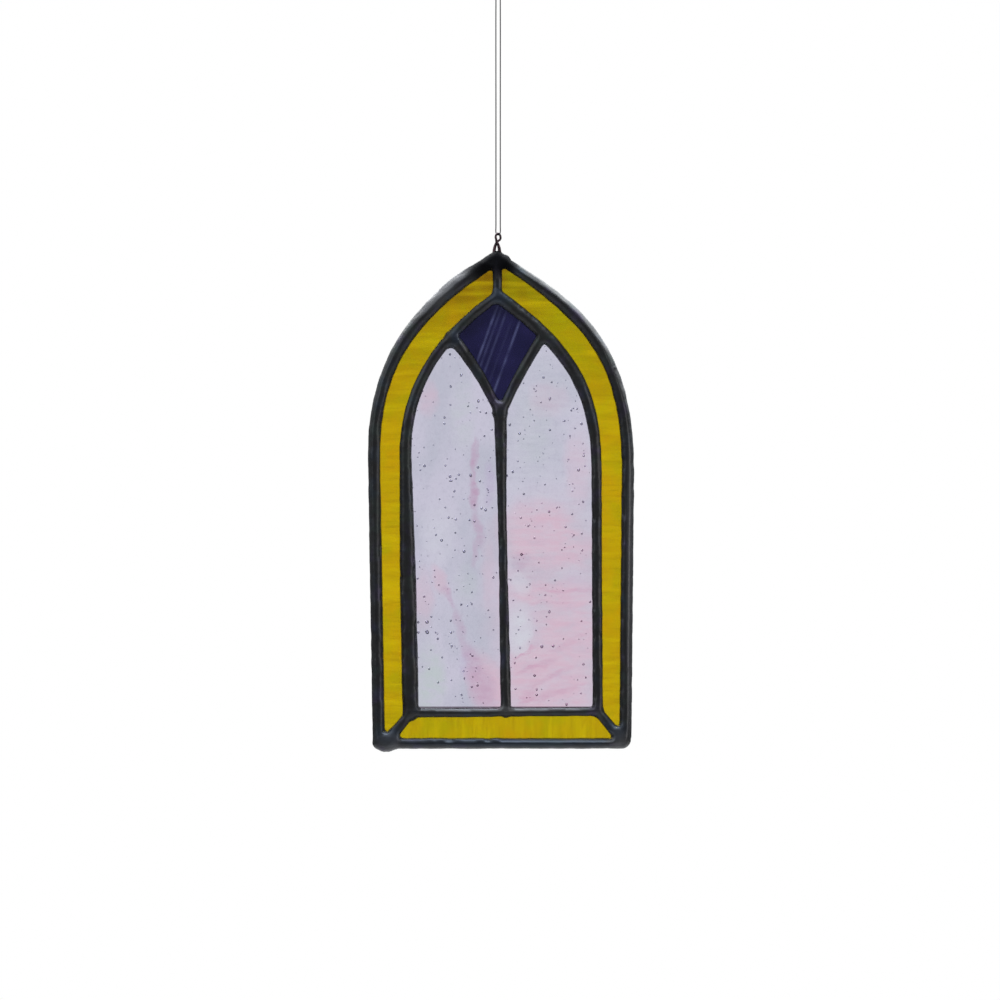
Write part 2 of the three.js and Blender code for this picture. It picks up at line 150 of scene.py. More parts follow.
line = {
    "diameter": 0.4,
    "drawn": 0.47,  # a little thicker, to read as it does against the light
    "turn": 48,
    "length": 220,
    # to the side in the plane of the strands, and the height
    "loop": [(-0.4, 307.0), (-0.825, 307.9), (-1.35, 309.22), (-1.5, 310.78), (-1.05, 312.28)],
    "loopTop": 312.9,
    "strand": [
        (-0.4, 304.0),
        (-0.725, 302.43),
        (-1.1, 300.56),
        (-1.17, 297.28),
        (-1.17, 254.8),
        (-1.17, 209.58),
        (-1.17, 206.77),
        (-0.827, 205.943),
    ],
    "bearing": 205.6,
    "knotFoot": 304.3,
    "knotTop": 306.7,
    "knotRadius": 0.62,
    "knotTurns": 4,
    "turnRise": 1.02,  # in diameters of the line
    "turnLoose": 0.05,
    "turnSteps": 8,
    "tailLength": 3.6,
    # each place of a tail: to the side, its share of the length, and out of the strands' plane
    "lowTail": [(0.9, 1.0, -0.5), (0.75, 0.5, -0.55)],
    "highTail": [(0.75, 0.5, 0.5), (0.95, 1.0, 0.55)],
    "dark": (14, 14, 15),
    "pale": (28, 28, 30),
}

lineTurn = math.radians(line["turn"])


def inLinePlane(side, height, out=0.0):
    x = -side * math.sin(lineTurn) + out * math.cos(lineTurn)
    depth = side * math.cos(lineTurn) + out * math.sin(lineTurn)
    return at(x, height, depth)


def bothSides(places, middle):
    there = [inLinePlane(side, height) for side, height in places]
    back = [inLinePlane(-side, height) for side, height in reversed(places)]
    return [*there, inLinePlane(0, middle), *back]


def lineRoute():
    loop = bothSides(line["loop"], line["loopTop"])
    strands = bothSides(line["strand"], line["bearing"])
    return smoothRoute([*loop, *reversed(strands)], 8)


def knotRoute():
    # turns wound round both strands, a little loose, with a short tail at each end
    middle = (line["knotFoot"] + line["knotTop"]) / 2
    rise = line["knotTurns"] * line["diameter"] * line["turnRise"]
    foot, top, tail = middle - rise / 2, middle + rise / 2, line["tailLength"]
    points = [inLinePlane(side, foot - tail * share, out) for side, share, out in line["lowTail"]]
    last = line["knotTurns"] * line["turnSteps"]
    for i in range(last + 1):
        angle = 2 * math.pi * i / line["turnSteps"]
        radius = line["knotRadius"] * (1 + line["turnLoose"] * math.sin(angle * 0.7))
        points.append(
            inLinePlane(radius * math.cos(angle), foot + rise * i / last, radius * math.sin(angle))
        )
    points += [inLinePlane(side, top + tail * share, out) for side, share, out in line["highTail"]]
    return smoothRoute(points, 4)


linePath = lineRoute()
hangingLine = tubeObject("hangingLine", linePath, line["drawn"])
lineKnot = tubeObject("lineKnot", knotRoute(), line["drawn"])
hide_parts("hanging_line", "line_loop")
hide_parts("line_knot")
for piece in (hangingLine, lineKnot):
    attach(piece, "root")
inLinePlane(*line["strand"][0])
line["length"] * mm
line["diameter"] * mm
print("line strung")

# The stage: a pale floor well below, a bright room behind, and soft light from above

stage = {
    "floorRadius": 2600,
    "floorBelow": 900,
    "floorTones": ((236, 236, 238), (243, 243, 244)),
    "backdrop": 1.0,
    # what shiny things mirror: the dim room, and what it sees of the sky. Each opening has
    # the way to it, the nearness to that way where it starts and where it is full, and its light
    "roomGloss": 0.055,
    "openings": [((-0.34, 0.05, 0.94), 0.15, 0.97, 2.0), ((0.5, 0.5, 0.7), 0.74, 0.98, 5.6)],
    "skyColour": (0.93, 0.97, 1.0, 1.0),
    "roomFill": 0.75,
    "lights": {
        # place, size, watts and colour of each
        "above": ((150, 1300, -350), 1100, 20, (0.82, 0.91, 1.0)),
        "right": ((1300, 250, -900), 1000, 8, (1.0, 0.97, 0.95)),
        "left": ((-1100, 500, -700), 700, 3, (0.9, 0.95, 1.0)),
        "behind": ((-500, 1100, 800), 1000, 16, (0.97, 0.98, 1.0)),
    },
}


def makeStage():
    floor = bmesh.new()
    radius = stage["floorRadius"] * mm
    bmesh.ops.create_circle(floor, cap_ends=True, segments=96, radius=radius)
    mesh = bpy.data.meshes.new("floor")
    floor.to_mesh(mesh)
    floor.free()
    disc = meshObject("floor", mesh)
    disc.location = at(0, -stage["floorBelow"])
    for name, (place, size, watts, colour) in stage["lights"].items():
        lamp = bpy.data.lights.new(name, "AREA")
        lamp.shape = "DISK"
        lamp.size = size * mm
        lamp.energy = watts
        lamp.color = colour
        holder = bpy.data.objects.new(name, lamp)
        holder.location = at(*place)
        aim = at(0, 100) - holder.location
        holder.rotation_mode = "QUATERNION"
        holder.rotation_quaternion = aim.to_track_quat("-Z", "Y")
        bpy.context.collection.objects.link(holder)
    return disc


floorDisc = makeStage()


class Wire:
    # a socket that can be reckoned with, and the tree that it is in

    def __init__(self, tree, socket=None):
        self.tree = tree
        self.socket = socket

    def node(self, kind, settings=None, inputs=None, output=0):
        made = self.tree.nodes.new("ShaderNode" + kind)
        for name, value in (settings or {}).items():
            if name == "stops":
                ramp = made.color_ramp
                while len(ramp.elements) < len(value):
                    ramp.elements.new(0.5)
                for element, (position, colour) in zip(ramp.elements, value):
                    element.position = position
                    element.color = colour
            else:
                setattr(made, name, value)
        for name, value in (inputs or {}).items():
            if isinstance(value, Wire):
                self.tree.links.new(value.socket, made.inputs[name])
            else:
                made.inputs[name].default_value = value
        return Wire(self.tree, made.outputs[output] if made.outputs else None)

    def reckon(self, operation, *values):
        return self.node("Math", {"operation": operation}, dict(enumerate(values)))

    def __add__(self, other):
        return self.reckon("ADD", self, other)

    def __radd__(self, other):
        return self.reckon("ADD", other, self)

    def __sub__(self, other):
        return self.reckon("SUBTRACT", self, other)

    def __rsub__(self, other):
        return self.reckon("SUBTRACT", other, self)

    def __mul__(self, other):
        return self.reckon("MULTIPLY", self, other)

    def __rmul__(self, other):
        return self.reckon("MULTIPLY", other, self)

    def __truediv__(self, other):
        return self.reckon("DIVIDE", self, other)

    def __pow__(self, other):
        return self.reckon("POWER", self, other)

    def rises(self, low, high):
        # 0 below the low value, 1 above the high one, and smooth between
        limits = {"Value": self, "From Min": low, "From Max": high}
        return self.node("MapRange", {"interpolation_type": "SMOOTHSTEP"}, limits)

    def blend(self, under, over):
        # this value is the share of the colour over
        return self.node("Mix", {"data_type": "RGBA"}, {0: self, 6: under, 7: over}, 2)


def tone(red, green, blue):
    # a colour as a picture states it, from 0 to 255, turned into light
    def light(value):
        share = value / 255
        return share / 12.92 if share <= 0.04045 else ((share + 0.055) / 1.055) ** 2.4

    return (light(red), light(green), light(blue), 1.0)


class Finish(Wire):
    # a material being made, with its places in millimetres

    def __init__(self, name):
        self.material = bpy.data.materials.new(name)
        self.material.use_nodes = True
        super().__init__(self.material.node_tree)
        self.tree.nodes.clear()
        places = self.node("TexCoord", output=3)
        scaled = self.node("VectorMath", {"operation": "SCALE"}, {0: places, "Scale": 1 / mm})
        foot = self.node("VectorMath", {"operation": "ADD"}, {0: scaled, 1: (0, 0, hangHeight)})
        self.places = foot
        apart = self.node("SeparateXYZ", inputs={0: foot}).socket.node
        self.x, self.depth, self.height = (Wire(self.tree, apart.outputs[i]) for i in range(3))

    def grain(self, size, detail=2.0, stretch=(1, 1, 1), seed=0.0, rough=0.5):
        # noise of a size in mm, drawn out along each axis by its stretch
        scale = [1 / (size * s) for s in stretch]
        drawn = self.node(
            "Mapping", inputs={"Vector": self.places, "Location": (seed, seed, seed), "Scale": scale}
        )
        inputs = {"Vector": drawn, "Scale": 1.0, "Detail": detail, "Roughness": rough}
        return self.node("TexNoise", {"noise_dimensions": "3D"}, inputs)

    def patch(self, x, height, width, tall, lean=0.0):
        # 1 in the middle of an oval place on the panel, 0 at its edge, leaning to the right
        turn = math.radians(lean)
        across = (self.x - x) * math.cos(turn) - (self.height - height) * math.sin(turn)
        along = (self.x - x) * math.sin(turn) + (self.height - height) * math.cos(turn)
        far = (across / width) ** 2 + (along / tall) ** 2
        return 1 - far.rises(0.0, 1.0)

    def bump(self, height, strength, distance):
        inputs = {"Height": height, "Strength": strength, "Distance": distance * mm}
        return self.node("Bump", inputs=inputs)

    def shade(self, **values):
        inputs = {}
        for name, value in values.items():
            inputs[name.replace("_", " ").title().replace("Ior", "IOR")] = value
        shader = self.node("BsdfPrincipled", inputs=inputs)
        self.node("OutputMaterial", inputs={"Surface": shader})
        return self.material


def most(finish, places):
    # the strongest of some oval places
    whole = 0.0
    for place in places:
        whole = finish.reckon("MAXIMUM", finish.patch(*place), whole)
    return whole


def backdrop():
    # the room is bright behind the panel and quieter in its reflections
    world = bpy.data.worlds.new("room")
    world.use_nodes = True
    world.cycles.sampling_method = "NONE"
    bpy.context.scene.world = world
    room = Wire(world.node_tree)
    room.tree.nodes.clear()
    rays = room.node("LightPath").socket.node
    glossy, through, camera = (
        Wire(room.tree, rays.outputs[name])
        for name in ("Is Glossy Ray", "Is Transmission Ray", "Is Camera Ray")
    )
    reflected = glossy * (1 - through)
    seen = room.reckon("MAXIMUM", camera, through)
    towards = room.node("TexCoord")
    mirrored = stage["roomGloss"]
    for way, start, full, brightness in stage["openings"]:
        near = room.node("VectorMath", {"operation": "DOT_PRODUCT"}, {0: towards, 1: way}, 1)
        mirrored = near.rises(start, full) * brightness + mirrored
    indoors = reflected * mirrored + (1 - reflected) * stage["roomFill"]
    strength = seen * stage["backdrop"] + (1 - seen) * indoors
    colour = reflected.blend((1, 1, 1, 1), stage["skyColour"])
    light = room.node("Background", inputs={"Color": colour, "Strength": strength})
    room.node("OutputWorld", inputs={"Surface": light})


def floorPaint():
    paint = Finish("floorPaint")
    cloud = paint.grain(160, detail=3)
    dull, clean = stage["floorTones"]
    colour = cloud.blend(tone(*dull), tone(*clean))
    return paint.shade(base_color=colour, roughness=0.7)


backdrop()
floorDisc.data.materials.append(floorPaint())
print("stage set")

# Glass

yellow = {
    "side": (193, 163, 0),
    "arch": (173, 147, 0),
    "foot": (188, 162, 0),
    "streak": (160, 128, 0),
    "light": (212, 188, 0),
    "amber": (202, 148, 0),
    "lime": (160, 164, 0),
    "top": (121, 88, 0),
    # the part of the arch that leans most to lime: x, height, half width and half height
    "limePlace": (29, 170, 19, 24),
    "archFrom": 112,
    "archTo": 165,
    "topTo": 192,
    # how much of each tint there is where it is strongest
    "share": {"amber": 0.36, "lime": 0.4, "limePlace": 0.45, "light": 0.55, "streak": 0.42},
}


def yellowGlass(name, stretch, plain):
    # streaky glass, drawn out along the axes as the stretch says
    glass = Finish(name)
    share = yellow["share"]
    rise = glass.height.rises(yellow["archFrom"], yellow["archTo"])
    colour = rise.blend(tone(*plain), tone(*yellow["arch"]))
    crown = glass.height.rises(yellow["archTo"], yellow["topTo"])
    colour = crown.blend(colour, tone(*yellow["top"]))
    hue = glass.grain(11, detail=2, seed=12.4)
    colour = (hue.rises(0.52, 0.68) * share["amber"]).blend(colour, tone(*yellow["amber"]))
    colour = ((1 - hue.rises(0.34, 0.5)) * share["lime"]).blend(colour, tone(*yellow["lime"]))
    limePlace = glass.patch(*yellow["limePlace"]) * share["limePlace"]
    colour = limePlace.blend(colour, tone(*yellow["lime"]))
    clouds = glass.grain(5, detail=2, stretch=stretch, seed=7.7)
    colour = (clouds.rises(0.46, 0.66) * share["light"]).blend(colour, tone(*yellow["light"]))
    streaks = glass.grain(1.3, detail=3, stretch=stretch, seed=3.1)
    colour = (streaks.rises(0.5, 0.7) * share["streak"]).blend(colour, tone(*yellow["streak"]))
    waves = glass.grain(5, detail=2, stretch=stretch, seed=1.3)
    return glass.shade(
        base_color=colour,
        roughness=0.14 + streaks * 0.1,
        transmission_weight=0.9,
        ior=1.5,
        specular_ior_level=0.25,
        normal=glass.bump(waves, 0.5, 0.12),
    )


kite = {
    "glass": (37, 35, 74),
    "deep": (29, 28, 61),
    "paintedShade": (24, 24, 46),
    "haze": (47, 46, 83),
    "streak": (80, 84, 122),
    "lean": 20,
    # how far right each light streak crosses the middle of the kite, and how bright it is
    "streaks": [(-5.2, 0.85), (-3.3, 0.35), (-0.8, 0.35), (5.9, 0.75), (2.6, 0.12)],
    # painted shade in the upper corners, beside the seams: x, height, half width, half height and lean
    "paintedShadePlaces": [(-11, 172, 11, 8, -50), (1, 178, 11, 6, 0)],
    "middle": 163.6,
    "streakHalf": 0.85,
    "hazeShare": 0.35,
    "paintedShadeShare": 0.7,
}


def kiteGlass():
    glass = Finish("kiteGlass")
    lean = math.radians(kite["lean"])
    across = glass.x * math.cos(lean) - (glass.height - kite["middle"]) * math.sin(lean)
    along = glass.x * math.sin(lean) + (glass.height - kite["middle"]) * math.cos(lean)
    drawn = glass.node("CombineXYZ", inputs={0: across, 1: along * 0.04, 2: glass.depth * 0.2})
    settings = {"Vector": drawn, "Scale": 1.4, "Detail": 4.0, "Roughness": 0.7}
    fine = glass.node("TexNoise", inputs=settings)
    broad = glass.grain(11, detail=2, seed=2.0)
    colour = broad.rises(0.35, 0.7).blend(tone(*kite["deep"]), tone(*kite["glass"]))
    colour = (fine.rises(0.54, 0.8) * kite["hazeShare"]).blend(colour, tone(*kite["haze"]))
    fade = glass.grain(7, detail=1, seed=5.0).rises(0.3, 0.55)
    streaks = 0.0
    for place, brightness in kite["streaks"]:
        reach = glass.reckon("ABSOLUTE", across - place * math.cos(lean))
        streaks = streaks + (1 - reach.rises(0.0, kite["streakHalf"])) * brightness
    colour = (streaks * fade).blend(colour, tone(*kite["streak"]))
    # painted shade darkens the glass in its upper corners, where the seams shadow it
    paintedShade = most(glass, kite["paintedShadePlaces"]) * kite["paintedShadeShare"]
    colour = paintedShade.blend(colour, tone(*kite["paintedShade"]))
    return glass.shade(
        base_color=colour,
        roughness=0.13,
        transmission_weight=0.8,
        ior=1.5,
        specular_ior_level=0.4,
        normal=glass.bump(fine, 0.25, 0.05),
    )


seedy = {
    "glass": (200, 197, 215),
    "cool": (188, 189, 205),
    "mottle": (180, 178, 196),
    "lavender": (186, 172, 204),
    "pink": (213, 184, 202),
    "mauve": (187, 157, 184),
    "rose": (203, 158, 184),
    "green": (190, 199, 202),
    "white": (210, 212, 223),
    # place of each wisp: x, height, half width, half height, lean, strength
    "pinkWisps": [
        (-28, 140, 5, 9, 10, 0.5),
        (-30, 60, 6, 16, 0, 0.45),
        (-23, 67, 3.2, 9, -24, 0.6),
        (-4, 72, 3, 22, 0, 0.25),
        (-5, 26, 9, 17, -16, 0.85),
        (21, 60, 32, 52, 0, 0.5),
        (15, 89, 20, 14, 0, 0.7),
        (23, 80, 24, 10, 0, 0.5),
        (32, 112, 7, 20, 0, 0.5),
        (22, 62, 26, 6, 2, 0.6),
        (30, 45, 18, 18, 0, 0.6),
        (20, 25, 26, 22, 0, 1.0),
        (20, 140, 10, 9, 0, 0.35),
    ],
    "mauveWisps": [
        (-9.4, 117, 1.7, 9, 3, 0.8),
        (-10, 103, 2.2, 10, -3, 0.9),
        (-8, 88, 2.6, 9, -10, 0.6),
        (-19.5, 61, 1.8, 6, -30, 0.6),
        (-15.4, 50, 2.4, 9, -12, 0.5),
        (-11, 37, 4.4, 9, -24, 0.7),
        (-6.5, 25, 7, 12, -20, 0.6),
        (-9.2, 79, 2.2, 8, 0, 0.5),
        (9, 75, 4, 5, 60, 0.45),
    ],
    "roseWisps": [
        (10.8, 38.6, 0.9, 8, 54, 0.9),
        (15, 33.0, 1.6, 12, 68, 0.8),
        (19, 28.0, 1.6, 15, 68, 0.7),
        (23, 22.5, 1.8, 16, 74, 0.7),
        (12, 21, 3, 8, 40, 0.7),
        (26, 63.5, 1.2, 14, 91, 0.5),
        (20, 58.5, 1.0, 12, 88, 0.35),
        (27, 42, 2, 12, 64, 0.35),
    ],
    "lavenderWisps": [(-3.4, 106, 3, 13, 0, 0.5), (-12, 33, 5, 8, -20, 0.5), (30, 60, 7, 14, 0, 0.3)],
    "greenWisps": [
        (-27, 27, 8, 20, 0, 0.9),
        (-14, 134, 7, 18, 0, 0.4),
        (-13, 66, 6, 10, 0, 0.35),
        (14, 126, 9, 20, 0, 0.3),
    ],
    "whiteWisps": [(8.4, 47, 7, 13, 0, 0.9), (9, 66, 5, 6, 0, 0.6), (-24, 86, 9, 16, 0, 0.4)],
    "warp": 3.2,
    # right of this the glass is streaked with white from side to side
    "streakedFrom": 3.0,
    "streakShare": 0.26,
    "mottleShare": 0.5,
    # a dark line along the glass's foot, partly the foil's edge seen through the glass and partly
    # painted shade
    "foil": (78, 66, 78),
    "foilShadeHeights": (16.2, 16.5, 16.8, 17.2),
    "foilShadeShare": 0.85,
    # half the count of seeds is for a pane whose box covers this many square millimetres
    "count": 420,
    "cover": 5400,
    "radius": (0.16, 0.5),
    "smallness": 2.2,  # the higher, the fewer large ones
    "fineFrom": 0.4,  # the radius from which a seed has finer facets
    "margin": 0.7,
    "deepest": 0.7,  # from the middle of the glass
    "longer": 0.5,
    "turned": 0.5,
    # the largest seeds: x, height and radius
    "largest": [
        (-28.4, 50.8, 0.72),
        (-28.4, 46.8, 0.7),
        (-13.6, 79.0, 0.62),
        (-22.6, 83.5, 0.6),
        (-29.4, 113.2, 0.55),
        (-11.0, 109.4, 0.55),
        (-19.2, 109.0, 0.6),
        (-5.0, 95.6, 0.6),
        (17.5, 41.0, 0.6),
        (22.0, 41.2, 0.6),
        (32.2, 111.6, 0.58),
        (8.6, 126.2, 0.55),
        (9.4, 77.8, 0.55),
        (20.4, 95.0, 0.5),
        (14.6, 29.4, 0.55),
    ],
    "random": 20,
}


def wisps(glass, places):
    whole = 0.0
    for x, height, width, tall, lean, strength in places:
        whole = whole + glass.patch(x, height, width, tall, lean) * strength
    return glass.reckon("MINIMUM", whole, 1.0)


def seedyGlass():
    glass = Finish("seedyGlass")
    # the wisps were stirred into the glass while it ran
    settings = {"Vector": glass.places, "Scale": 0.16, "Detail": 3.0}
    stir = glass.node("TexNoise", inputs=settings, output=1)
    centred = glass.node("VectorMath", {"operation": "SUBTRACT"}, {0: stir, 1: (0.5, 0.5, 0.5)})
    drift = glass.node("VectorMath", {"operation": "SCALE"}, {0: centred, "Scale": seedy["warp"] * 2})
    apart = glass.node("SeparateXYZ", inputs={0: drift}).socket.node
    plainX, plainHeight = glass.x, glass.height
    glass.x = glass.x + Wire(glass.tree, apart.outputs[0])
    glass.height = glass.height + Wire(glass.tree, apart.outputs[2])
    clouds = glass.grain(14, detail=3, stretch=(1, 1, 1.6), seed=4.2)
    mottle = glass.grain(1.5, detail=3, stretch=(1, 1, 1.2), seed=15.2, rough=0.6)
    broken = glass.grain(4.5, detail=4, stretch=(1.5, 1, 0.8), seed=9.1, rough=0.6).rises(0.28, 0.6)
    brushed = glass.grain(1.4, detail=4, stretch=(3.2, 1, 0.7), seed=6.3, rough=0.6).rises(0.3, 0.68)
    colour = clouds.rises(0.35, 0.65).blend(tone(*seedy["cool"]), tone(*seedy["glass"]))
    colour = (mottle.rises(0.5, 0.72) * seedy["mottleShare"]).blend(colour, tone(*seedy["mottle"]))
    drawn = glass.grain(3.6, detail=5, stretch=(3, 1, 0.6), seed=23.0, rough=0.62).rises(0.36, 0.62)
    sideways = glass.x.rises(seedy["streakedFrom"] - 0.5, seedy["streakedFrom"] + 0.5)
    layers = (
        ("green", broken),
        ("lavender", broken),
        ("pink", 0.5 + broken * 0.5),
        ("white", 0.3 + broken * 0.7),
        ("mauve", 0.3 + broken * 0.7),
        ("rose", 0.4 + brushed * 0.6),
    )
    for name, breaks in layers:
        share = wisps(glass, seedy[name + "Wisps"]) * breaks
        colour = share.blend(colour, tone(*seedy[name]))
    streaked = (1 - drawn) * sideways * seedy["streakShare"]
    colour = streaked.blend(colour, tone(*seedy["white"]))
    glass.x, glass.height = plainX, plainHeight
    # painted shade with the foil's edge seen through the glass, a dark line along the foot
    low, lowFull, highFull, high = seedy["foilShadeHeights"]
    foil = glass.height.rises(low, lowFull) * (1 - glass.height.rises(highFull, high))
    colour = (foil * seedy["foilShadeShare"]).blend(colour, tone(*seedy["foil"]))
    waves = glass.grain(7, detail=2, stretch=(1, 1, 2), seed=3.0)
    return glass.shade(
        base_color=colour,
        roughness=0.02,
        transmission_weight=1.0,
        ior=1.5,
        specular_ior_level=0.4,
        normal=glass.bump(waves, 0.35, 0.1),
    )


def inPane(tree, x, height, margin):
    # a place is in the pane if a line from the front meets it there and all round it
    for dx, dh in ((0, 0), (margin, 0), (-margin, 0), (0, margin), (0, -margin)):
        hit = tree.ray_cast(at(x + dx, height + dh, -50), Vector((0, 1, 0)))
        if hit[0] is None:
            return False
    return True


def seedyPane(name, node):
    # the pane itself, with its seeds as small voids inside the glass
    source = frame["nodes"][node].data
    pane = bmesh.new()
    pane.from_mesh(source)
    tree = BVHTree.FromBMesh(pane)
    low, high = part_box(node)
    lowest, highest = low.z / mm + hangHeight, high.z / mm + hangHeight
    draw = random.Random(seedy["random"] + len(node))
    seeds = [seed for seed in seedy["largest"] if inPane(tree, seed[0], seed[1], seedy["margin"])]
    area = (high.x - low.x) * (high.z - low.z) / mm / mm
    wanted = int(seedy["count"] / 2 * area / seedy["cover"])
    while len(seeds) < wanted:
        x = draw.uniform(low.x, high.x) / mm
        height = draw.uniform(lowest, highest)
        radius = mix(*seedy["radius"], draw.random() ** seedy["smallness"])
        if inPane(tree, x, height, seedy["margin"] + radius):
            seeds.append((x, height, radius))
    for x, height, radius in seeds:
        depth = draw.uniform(-seedy["deepest"], seedy["deepest"])
        longer = 1 + seedy["longer"] * draw.random() ** 3
        shape = Matrix.Diagonal((1, 1, longer, 1))
        turned = Matrix.Rotation(draw.uniform(-seedy["turned"], seedy["turned"]), 4, "Y")
        made = bmesh.ops.create_icosphere(
            pane,
            subdivisions=3 if radius > seedy["fineFrom"] else 2,
            radius=radius * mm,
            matrix=Matrix.Translation(at(x, height, depth)) @ turned @ shape,
        )
        faces = {face for vertex in made["verts"] for face in vertex.link_faces}
        for face in faces:
            face.smooth = True
        bmesh.ops.reverse_faces(pane, faces=list(faces))
    mesh = bpy.data.meshes.new(name)
    pane.to_mesh(mesh)
    pane.free()
    glass = meshObject(name, mesh)
    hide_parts(node)
    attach(glass, "root")
    print(name, "has", len(seeds), "seeds")
    return glass


def dress(thing, material):
    thing.data.materials.clear()
    thing.data.materials.append(material)


sideGlass = yellowGlass("yellowSideGlass", (7, 1, 0.8), yellow["side"])
dress(frame["nodes"]["glass_border_left"], sideGlass)
dress(frame["nodes"]["glass_border_right"], sideGlass)
dress(frame["nodes"]["glass_border_foot"], yellowGlass("yellowFootGlass", (0.9, 1, 6), yellow["foot"]))
dress(frame["nodes"]["glass_kite"], kiteGlass())
clearGlass = seedyGlass()
for name, node in (("lancetLeft", "glass_lancet_left"), ("lancetRight", "glass_lancet_right")):
    dress(seedyPane(name, node), clearGlass)
print("glass cut")

# The solder: seams are strokes over the panel's plane, and the metal stands over them as a
# liquid does, low at its edges, higher where seams meet, with every inner corner filled

net = {
    "peak": (-0.3, 196.5),
    "apex": (-0.3, 181.18),
    "rimSpringLeft": (-49.6, 117.8),
    "rimSpringRight": (51.9, 110.5),
    "innerSpringLeft": (-37.05, 117.8),
    "innerSpringRight": (39.35, 110.5),
    "rimFootLeft": (-47.7, 2.3),
    "rimFootRight": (50.9, 2.3),
    "mitreFootLeft": (-45.2, 2.3),
    "mitreFootRight": (49.6, 3.6),
    "innerFootLeft": (-34.95, 14.4),
    "innerFootRight": (39.85, 15.05),
    # the left arch bulges outward between these
    "bulgeFoot": (-24.1, 179.1),
    "bulgeTop": (-9.75, 190.56),
    "bulgeBow": -1.6,
    "mullionTop": (0.9, 133.6),
    "mullionFoot": (3.15, 15.1),
    # how each side of an arch rises: a share of its rise straight up, then in at a pitch
    "rimRise": (0.47, 0.56),
    "rimReach": (0.78, 0.8),
    "rimPitch": (31.2, 32.1),
    "innerRise": (0.48, 0.417),
    "innerReach": (0.65, 1.0),
    "innerPitch": (35, 35),
    "shoulderDrop": (16.2, 15.2),
    "kiteBow": (-2.95, 1.5),
    "kiteBowShare": (0.4, 0.5),
    "cornerRound": (2, 3),
    # how wide each seam is, from its start to its end
    "widths": {
        "rimArchLeft": (5.0, 5.0, 5.9, 5.6),
        "rimArchRight": (5.0, 5.0, 5.4, 4.0),
        "rimSideLeft": (5.0,),
        "rimSideRight": (5.0,),
        "rimFoot": (4.4,),
        "innerArchLeft": (4.8, 4.1, 4.1),
        "innerArchRight": (4.1, 4.9, 5.4),
        "innerSideLeft": (6.6, 6.6, 4.8),
        "innerSideRight": (4.1,),
        "innerFoot": (3.8, 3.5, 3.5),
        "mullion": (4.3, 4.0, 3.4, 3.8, 5.4),
        "kiteLeft": (5.0, 4.2, 3.8),
        "kiteRight": (4.2, 4.0, 4.0),
        "peak": (3.8,),
        "bulge": (5.8,),
        "mitreLeft": (5.2, 4.3, 3.7),
        "mitreRight": (4.4, 4.0, 3.8),
    },
    # places where more solder was fed: x, height and radius
    "lumps": [
        (-0.4, 196.2, 3.0),
        (2.5, 195.2, 2.6),
        (-3.4, 194.6, 2.9),
        (-47.2, 2.7, 3.1),
        (-45.6, 1.9, 3.1),
        (-43.8, 1.7, 2.9),
        (-41.6, 2.2, 2.6),
        (49.4, 3.9, 3.8),
        (-34.6, 14.7, 3.0),
        (39.6, 15.4, 2.8),
        (3.1, 15.1, 2.7),
        (0.8, 134.4, 3.2),
        (-0.3, 181.0, 2.6),
        (-18.4, 164.4, 2.6),
        (17.8, 165.4, 2.5),
    ],
    # drops that stand higher than the rest: x, height, radius and rise
    "drops": [
        (-5.2, 193.8, 1.7, 0.5),
        (-2.6, 192.9, 1.5, 0.5),
        (3.4, 195.0, 1.9, 0.45),
        (-0.2, 189.6, 1.8, 0.3),
        (-44.6, 3.0, 4.6, 0.25),
        (50.2, 3.8, 3.6, 0.25),
        (-35.2, 15.6, 3.4, 0.2),
        (-15.4, 163.2, 1.4, 0.3),
        (3.2, 14.8, 3.0, 0.25),
        (0.9, 134.0, 3.2, 0.2),
        (39.8, 15.6, 2.8, 0.2),
        (-39.2, 60.0, 3.4, 0.2),
        (-49.4, 88.0, 3.4, 0.2),
        (51.4, 34.0, 3.2, 0.2),
        (40.8, 128.0, 3.2, 0.2),
        (22.0, 2.6, 3.4, 0.2),
        (-12.0, 2.4, 3.6, 0.2),
    ],
    # places where the corners of a pane are filled more: x, height and reach
    "rounds": [(-18.8, 159.5, 6), (-0.3, 176.0, 6), (0.8, 129.0, 8)],
    "glassFace": 1.5,
    "bead": 1.35,
    "beadWidth": 4.3,
    "beadFullness": 0.8,
    "beadPower": 0.9,
    "dropSpread": 1.3,
    "foil": 0.07,
    "foilShows": 0.6,
    "foilShowsSize": 9,
    "foilShowsUneven": (0.7, 1.4),
    "foilFromRim": 4,
    "fillet": 0.7,
    "roundFillet": 1.9,
    "rimRound": 2.3,
    # where the rim's outer flank is a slant rather than round: x, height, reach and width
    "slants": [
        (-14, 190, 8, 3.2),
        (-21, 184, 9, 3.2),
        (-29, 175, 10, 2.8),
        (13, 189, 12, 1.9),
        (25, 180, 14, 1.9),
        (37, 167, 14, 2.2),
        (46, 151, 14, 2.4),
    ],
    "roundPower": 2,
    "slantPower": 1.35,
    # half the depth at the panel's edge, and the least half depth over the glass of a pane
    "edgeHalf": 0.45,
    "overGlass": 1.72,
    # the grid that the solder is worked out on, with the reaches of what is laid on it
    "grid": 0.36,
    "gridFrom": (-56, -6),
    "gridTo": (59, 206),
    "far": 9.0,
    "around": 4,
    "cornerReach": 6.5,
    "openReach": 6.0,
    "edgeBand": 1.5,  # in steps of the grid
    "stepsPerMm": 2.4,
    "skinRounds": 500,
    "edgeWobble": 0.12,
    "edgeWobbleSize": 4,
    "smoothing": 5,
    # the unevenness of a hand-run bead: size, amount and seed
    "wobbles": [(5, 0.12, 4), (1.25, 0.04, 8)],
    "random": 4,
}


def spot(name):
    return Vector(net[name])


